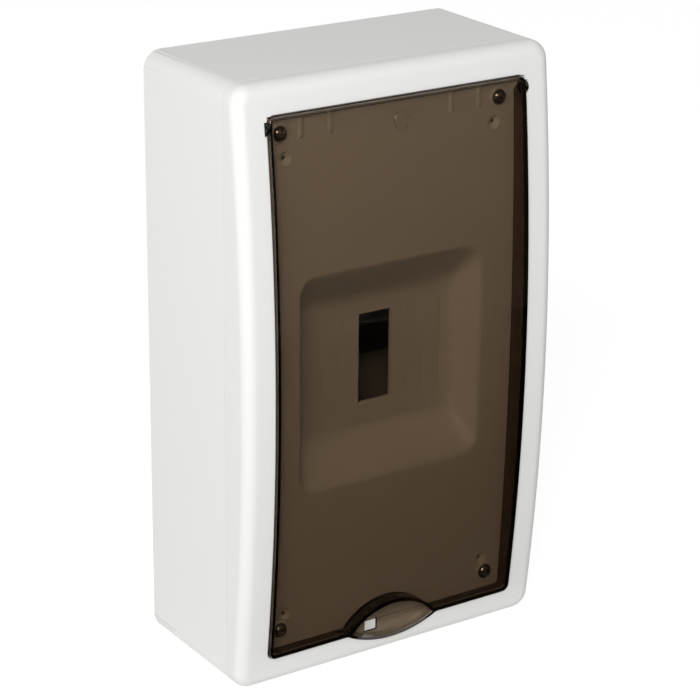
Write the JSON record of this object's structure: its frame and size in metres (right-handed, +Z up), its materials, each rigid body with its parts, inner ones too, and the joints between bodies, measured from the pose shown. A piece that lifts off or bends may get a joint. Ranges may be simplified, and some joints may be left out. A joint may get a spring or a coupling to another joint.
{
  "type": "dc combiner box",
  "caption": "Surface-mounted DC combiner box with a screwed-on bowed cover, a module window and a smoked door that lifts on pivots at its top corners.",
  "frame": {"origin": "centre of the back face, on the wall plane and midway between the four wall-screw holes", "axes": "+Z up along the height, +X to the right seen from the front, +Y into the wall, so the front faces -Y"},
  "size_m": [0.176, 0.0925, 0.3],
  "materials": {
    "white_base": "satin moulded",
    "white_cover": "fine satin moulded",
    "smoked_door": "smoked transparent plastic, polished",
    "dark_screws": "nickel plated",
    "zinc_screws": "zinc plated",
    "zinc_steel": "galvanised",
    "brass": "milled",
    "grey_plastic": "matt moulded",
    "black_plastic": "matt moulded",
    "red_plastic": "matt moulded",
    "blue_plastic": "matt moulded",
    "green_plastic": "matt moulded"
  },
  "bodies": {
    "box": {"back_box": "white_base", "rail_supports": "grey_plastic", "din_rail": "zinc_steel", "rail_screws": "zinc_screws", "positive_carrier": "black_plastic", "positive_bar": "brass", "positive_clamp_screws": "zinc_screws", "positive_guard": "red_plastic", "negative_carrier": "black_plastic", "negative_bar": "brass", "negative_clamp_screws": "zinc_screws", "negative_guard": "blue_plastic", "earth_carrier": "green_plastic", "earth_bar": "brass", "earth_clamp_screws": "zinc_screws", "carrier_screws": "zinc_screws"},
    "cover": {"front_cover": "white_cover", "cover_screws": "dark_screws", "screw_clips": "zinc_steel"},
    "door": {"door": "smoked_door"}
  },
  "joints": [
    {"name": "cover_release", "type": "slide", "parent": "box", "child": "cover", "axis": [0, -1, 0], "range_m": [0, 0.12]},
    {"name": "door_hinge", "type": "hinge", "parent": "cover", "child": "door", "pos_m": [0, -0.08203, 0.1297], "axis": [-1, 0, 0], "range_deg": [0, 100]}
  ]
}
